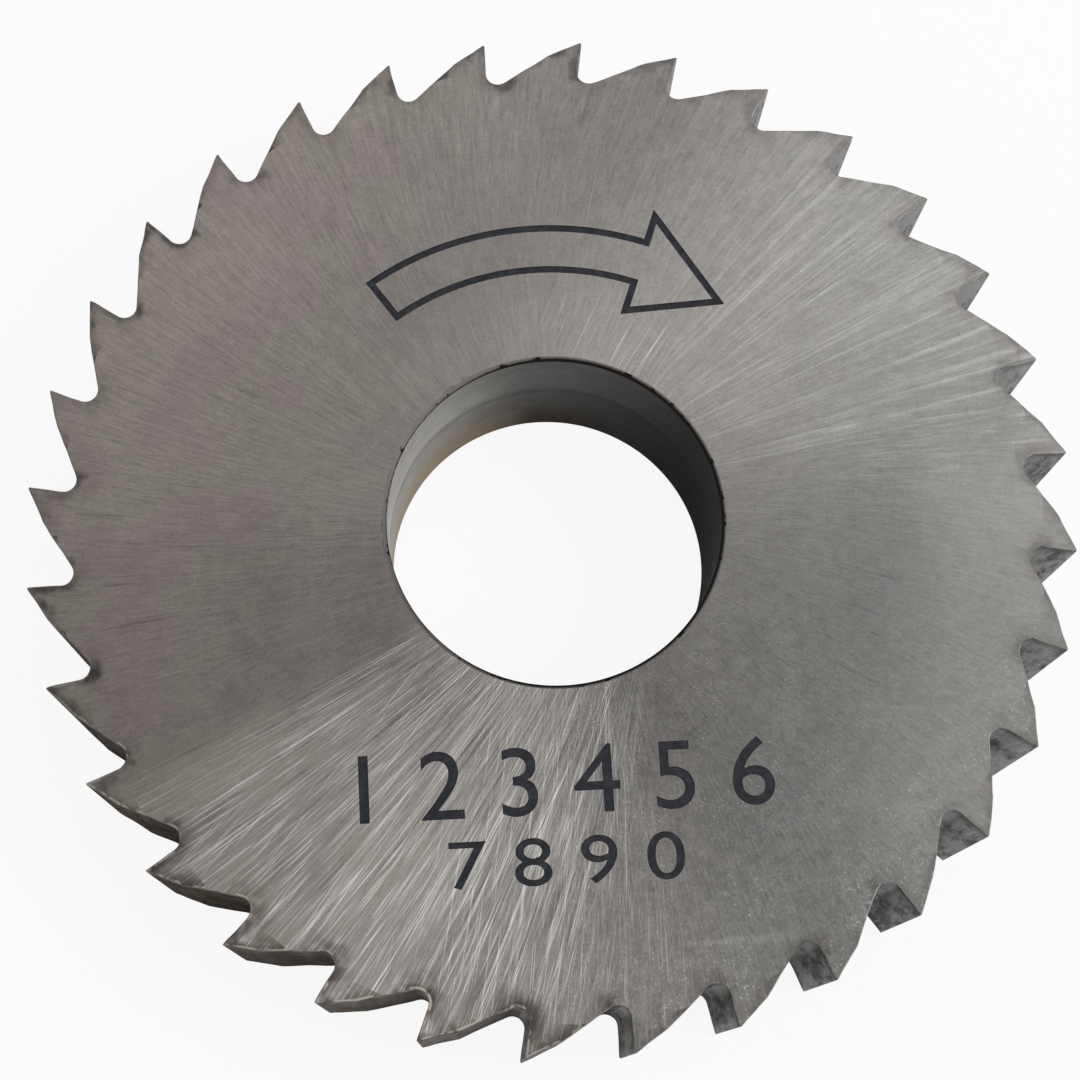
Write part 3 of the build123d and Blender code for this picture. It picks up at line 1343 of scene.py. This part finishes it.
@dataclass
class SawDisc:
    """The toothed disc.

    Attributes:
        outside_radius: The radius over the tips.
        bore_radius: The radius of the bore.
        width: The distance from side to side.
        tooth: The tooth's form.
        bore_chamfer: The chamfer at both ends of the bore.
        bore_steps: Straight steps round the bore.
        gullet_steps: Straight steps round a gullet's bottom, each turning by less than the crease.
        edge_softness: The rounding of the other edges.
        edge_cuts: Points added along each straight stretch of a tooth.
        unevenness: How far those points may be off.
        uneven_scale: How quickly that changes from place to place.
        crease: The smallest bend that stays sharp. It is less than the 22.5 degrees between the side and the
            first facet of its rounded edge, so that the side is shaded flat right up to the rim.
    """

    outside_radius: float
    bore_radius: float
    width: float
    tooth: ToothForm
    bore_chamfer: float = 0.1
    bore_steps: int = 192
    gullet_steps: int = 12
    edge_softness: float = 0.02
    edge_cuts: int = 5
    unevenness: float = 0.025
    uneven_scale: float = 1.7
    crease: float = 18.0

    def outline(self, bm: bmesh.types.BMesh) -> None:
        """Draws the rim: one tooth's outline, repeated round the disc.

        Args:
            bm: The mesh to draw in.
        """
        tooth = self.tooth
        foot = bm.verts.new(tooth.rake_foot)
        straight = [bm.edges.new((bm.verts.new(tooth.tip), foot))]
        bottom = bmesh.ops.spin(
            bm,
            geom=[foot],
            cent=tooth.gullet_centre,
            axis=UP,
            angle=math.radians(tooth.bottom_sweep),
            steps=self.gullet_steps,
        )
        last = next(item for item in bottom["geom_last"] if isinstance(item, bmesh.types.BMVert))
        for point in (tooth.relief_end, tooth.heel, tooth.next_tip):
            following = bm.verts.new(point)
            straight.append(bm.edges.new((last, following)))
            last = following
        bmesh.ops.subdivide_edges(bm, edges=straight[:-1], cuts=self.edge_cuts)
        bmesh.ops.spin(
            bm,
            geom=[*bm.verts, *bm.edges],
            axis=UP,
            angle=math.tau,
            steps=tooth.count,
            use_duplicate=True,
        )
        bmesh.ops.remove_doubles(bm, verts=bm.verts, dist=1e-3)

    def solid(self, bm: bmesh.types.BMesh) -> None:
        """Fills the side between rim and bore, and gives it its width.

        Args:
            bm: The mesh with the rim's outline.
        """
        bmesh.ops.create_circle(bm, cap_ends=False, segments=self.bore_steps, radius=self.bore_radius)
        bmesh.ops.triangle_fill(bm, use_beauty=True, use_dissolve=False, edges=bm.edges, normal=-UP)
        raised = bmesh.ops.extrude_face_region(bm, geom=[*bm.faces])
        verts = [item for item in raised["geom"] if isinstance(item, bmesh.types.BMVert)]
        bmesh.ops.translate(bm, verts=verts, vec=UP * self.width)
        bmesh.ops.recalc_face_normals(bm, faces=bm.faces)

    def roughen(self, bm: bmesh.types.BMesh) -> None:
        """Makes the edges of the teeth a little uneven, but not the tips.

        Args:
            bm: The solid.
        """
        low, high = self.tooth.root_radius - 0.2, self.outside_radius - 0.1
        for vert in bm.verts:
            if low < vert.co.xy.length < high:
                push = noise.noise_vector(vert.co * self.uneven_scale)
                vert.co += Vector((push.x, push.y, 0.0)) * self.unevenness

    def surface_of(self, face: bmesh.types.BMFace) -> Surface:
        """Tells which finish a face has.

        Args:
            face: A face of the solid.

        Returns:
            The finish.
        """
        centre = face.calc_center_median()
        outward = Vector((centre.x, centre.y, 0.0)).normalized()
        radius = math.hypot(centre.x, centre.y)
        if abs(face.normal.z) > 0.5:
            return Surface.SIDE
        if radius < self.bore_radius + self.bore_chamfer:
            return Surface.BORE
        clockwise = Vector((outward.y, -outward.x, 0.0))
        if face.normal.dot(clockwise) > 0.35:
            return Surface.RAKE
        relief_drop = math.sin(math.radians(self.tooth.relief_angle)) * self.tooth.relief_length
        return Surface.RELIEF if radius > self.outside_radius - relief_drop else Surface.BACK

    def soften(self, bm: bmesh.types.BMesh) -> None:
        """Chamfers the bore and takes the sharpness off the other edges.

        Args:
            bm: The solid.
        """
        bends = [edge for edge in bm.edges if edge.calc_face_angle(0.0) > math.radians(60.0)]
        near_bore = self.bore_radius * 1.2
        at_bore = [edge for edge in bends if edge.verts[0].co.xy.length < near_bore]
        at_rim = [edge for edge in bends if edge.verts[0].co.xy.length >= near_bore]
        work = (
            (at_bore, self.bore_chamfer, 1, Surface.BORE_EDGE),
            (at_rim, self.edge_softness, 2, Surface.EDGE),
        )
        for edges, offset, steps, surface in work:
            made = bmesh.ops.bevel(
                bm,
                geom=edges,
                offset=offset,
                offset_type="OFFSET",
                segments=steps,
                profile=0.5,
                affect="EDGES",
                clamp_overlap=True,
                material=-1,
            )
            for face in made["faces"]:
                face.material_index = surface.value

    def etch(self, disc: Object, cutter: Object) -> None:
        """Sinks the marks into the side.

        Args:
            disc: The disc.
            cutter: The solid of the marks.
        """
        cut = disc.modifiers.new("etched_marks", "BOOLEAN")
        cut.operation, cut.solver, cut.material_mode = "DIFFERENCE", "MANIFOLD", "TRANSFER"
        cut.object = cutter
        bpy.context.view_layer.update()
        etched = bpy.data.meshes.new_from_object(disc.evaluated_get(bpy.context.evaluated_depsgraph_get()))
        disc.modifiers.clear()
        disc.data = etched
        bpy.data.objects.remove(cutter)

    def build(self, materials: dict[Surface, Material], marks: EtchedMarks, mark_finish: Material) -> Object:
        """Makes the disc's mesh, etches it and dresses it.

        Args:
            materials: The finish for each surface.
            marks: The marks on the upper side.
            mark_finish: The finish of the marks.

        Returns:
            The disc.
        """
        bm = bmesh.new()
        self.outline(bm)
        self.solid(bm)
        self.roughen(bm)
        for face in bm.faces:
            face.material_index = self.surface_of(face).value
        self.soften(bm)
        mesh = bpy.data.meshes.new("saw_disc")
        bm.to_mesh(mesh)
        bm.free()
        for surface in Surface:
            mesh.materials.append(materials[surface])
        disc = link("saw_disc", mesh)
        self.etch(disc, marks.cutter(mark_finish))
        disc.data.transform(Matrix.Scale(MM, 4))
        disc.data.shade_smooth()
        disc.data.set_sharp_from_angle(angle=math.radians(self.crease))
        return disc


@dataclass
class Studio:
    """The pale floor, the soft lamps and the light from all round.

    Attributes:
        floor_size: The floor's side.
        floor_gap: How far the floor lies under the disc, so that the two don't share one plane.
        floor_colour: The floor's colour.
        floor_glow: How much of the floor's brightness is plain white.
        ambient: The light from all round.
    """

    floor_size: float = 1500.0
    floor_gap: float = 0.02
    floor_colour: Colour = (0.92, 0.92, 0.915)
    floor_glow: float = 0.91
    ambient: float = 0.53

    def floor(self) -> Object:
        """Lays the floor under the disc.

        Returns:
            The floor.
        """
        bm = bmesh.new()
        bmesh.ops.create_grid(bm, x_segments=1, y_segments=1, size=self.floor_size / 2 * MM)
        bmesh.ops.translate(bm, verts=bm.verts, vec=-UP * self.floor_gap * MM)
        mesh = bpy.data.meshes.new("floor")
        bm.to_mesh(mesh)
        bm.free()
        mesh.materials.append(self.floor_material())
        return link("floor", mesh)

    def floor_material(self) -> Material:
        """Makes a matt floor that looks white and still takes a soft shadow.

        Returns:
            The material.
        """
        sheet = NodeSheet("pale_floor")
        matt = sheet.add("ShaderNodeBsdfDiffuse")
        sheet.feed(matt.inputs["Color"], self.floor_colour)
        white = sheet.add("ShaderNodeEmission")
        path = sheet.add("ShaderNodeLightPath")
        share = sheet.math("MULTIPLY", path.outputs["Is Camera Ray"], self.floor_glow)
        mixed = sheet.add("ShaderNodeMixShader")
        for socket, value in zip(mixed.inputs, (share, matt.outputs[0], white.outputs[0])):
            sheet.feed(socket, value)
        output = sheet.add("ShaderNodeOutputMaterial")
        sheet.feed(output.inputs["Surface"], mixed.outputs[0])
        return sheet.material

    def surroundings(self) -> None:
        """Lights the scene evenly from all round, with a white backdrop."""
        world = bpy.data.worlds.new("studio")
        bpy.context.scene.world = world
        world.use_nodes = True
        tree = world.node_tree
        tree.nodes.clear()
        path = tree.nodes.new("ShaderNodeLightPath")
        level = tree.nodes.new("ShaderNodeMapRange")
        tree.links.new(path.outputs["Is Camera Ray"], level.inputs["Value"])
        level.inputs["To Min"].default_value = self.ambient
        level.inputs["To Max"].default_value = 1.0
        light = tree.nodes.new("ShaderNodeBackground")
        tree.links.new(level.outputs[0], light.inputs["Strength"])
        output = tree.nodes.new("ShaderNodeOutputWorld")
        tree.links.new(light.outputs[0], output.inputs["Surface"])

    def lamp(self, name: str, azimuth: float, elevation: float, distance: float, size: float, level: float) -> None:
        """Hangs a square soft lamp that points at the disc.

        Args:
            name: The lamp's name.
            azimuth: Its compass angle.
            elevation: Its height angle.
            distance: Its distance.
            size: Its side.
            level: The brightness that it gives a white floor.
        """
        data = bpy.data.lights.new(name, "AREA")
        data.size = size * MM
        rise = math.radians(elevation)
        data.energy = math.pi**2 * level * (distance * MM) ** 2 / math.sin(rise)
        lamp = link(name, data)
        away = turned(Vector((math.cos(rise), 0.0, math.sin(rise))), azimuth)
        lamp.location = away * distance * MM
        lamp.rotation_mode = "QUATERNION"
        lamp.rotation_quaternion = (-away).to_track_quat("-Z", "Y")

    def build(self) -> Object:
        """Sets up the floor and the light.

        Returns:
            The floor.
        """
        self.surroundings()
        self.lamp("key_lamp", 0.0, 50.0, 260.0, 160.0, 0.31)
        self.lamp("fill_lamp", 90.0, 50.0, 260.0, 160.0, 0.093)
        bpy.context.scene.view_settings.view_transform = "Standard"
        return self.floor()


def bore_radius() -> float:
    """Reads the bore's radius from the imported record, in mm."""
    mounts = frame["record"]["mounts"]
    return next(mount["dims"]["r_mm"] for mount in mounts if mount["name"] == "bore")


def main() -> None:
    """Builds the camera, the saw and the studio."""
    logging.basicConfig(level=logging.INFO, format="%(message)s")
    PhotoCamera().build()
    low, high = (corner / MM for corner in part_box(NODE))
    outside = (high.x - low.x) / 2
    form = ToothForm(outside)
    disc = SawDisc(outside, bore_radius(), high.z - low.z, form)
    materials = {
        Surface.SIDE: GroundSide(form, disc.bore_radius + disc.bore_chamfer).material(),
        Surface.EDGE: WornEdge().material(),
        Surface.RAKE: RakeFace(form, high.z).material(),
        Surface.BACK: MilledBack("milled_back", (0.026, 0.020, 0.017), (0.24, 0.225, 0.205)).material(),
        Surface.RELIEF: MilledBack("ground_relief", (0.032, 0.026, 0.023), (0.30, 0.285, 0.265)).material(),
        Surface.BORE: BoreWall().material(),
        Surface.BORE_EDGE: BoreEdge(bore_radius()).material(),
    }
    saw = disc.build(materials, EtchedMarks(high.z), EtchedMark().material())
    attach(saw, BODY)
    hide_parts(NODE)
    log.info("%s: %d faces", saw.name, len(saw.data.polygons))
    floor = Studio().build()
    floor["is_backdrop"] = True
    low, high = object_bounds()


if __name__ == "__main__":
    main()
